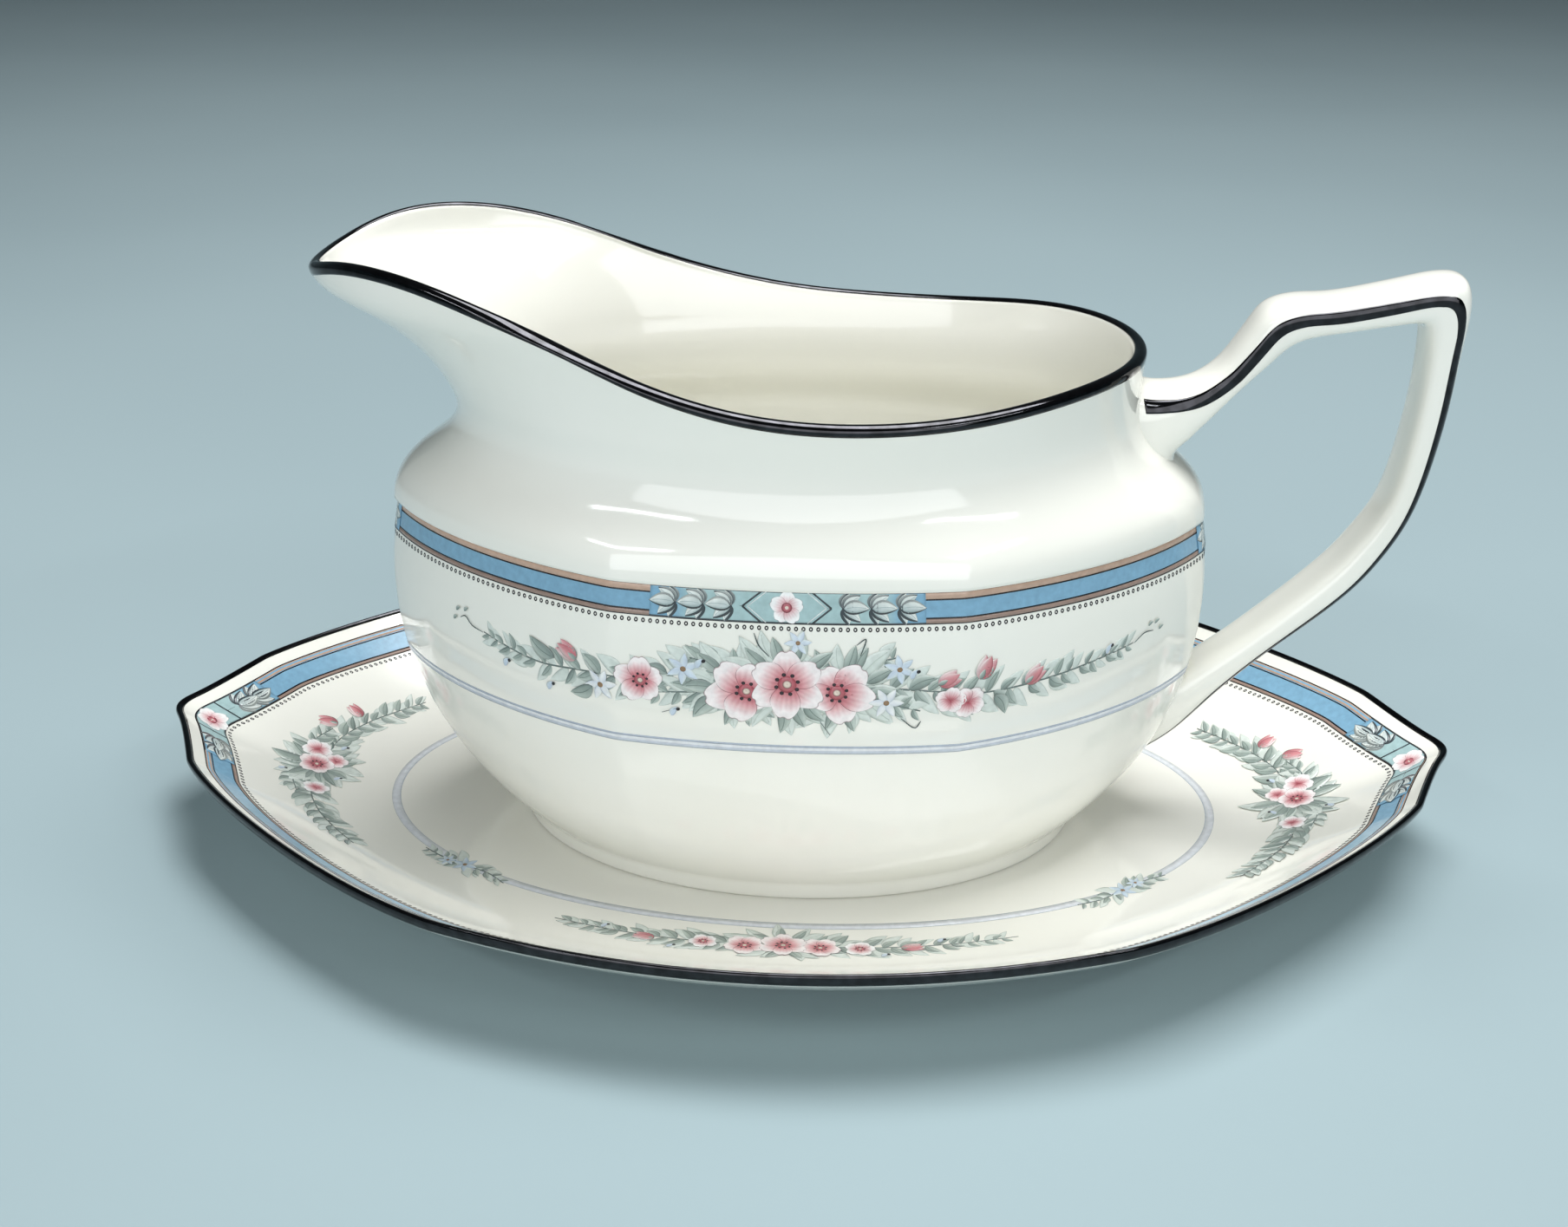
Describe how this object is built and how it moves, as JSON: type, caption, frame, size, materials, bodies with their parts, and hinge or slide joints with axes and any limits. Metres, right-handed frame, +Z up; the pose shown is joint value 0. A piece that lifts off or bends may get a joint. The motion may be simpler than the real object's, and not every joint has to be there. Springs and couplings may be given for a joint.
{
  "type": "gravy boat with underplate",
  "caption": "Oval china sauce boat with a pouring spout and an angular strap handle, standing loose on a pointed oval underplate.",
  "frame": {"origin": "centre of the overall bounding box at the bottom of the underplate's foot ring, on the table", "axes": "+X from the spout to the handle, +Z up, +Y to the left of someone who holds the handle and looks at the spout"},
  "size_m": [0.232, 0.1568, 0.1077],
  "materials": {
    "china": "warm white bone china under a clear gloss glaze, with printed flower decoration",
    "platinum": "polished fired platinum line"
  },
  "bodies": {
    "underplate": {"underplate": "china", "underplate_rim_line": "platinum"},
    "boat": {"boat_body": "china", "boat_rim_line": "platinum", "boat_handle": "china"}
  },
  "joints": [
    {"name": "boat_lift", "type": "slide", "parent": "underplate", "child": "boat", "axis": [0, 0, 1], "range_m": [0, 0.12]}
  ]
}
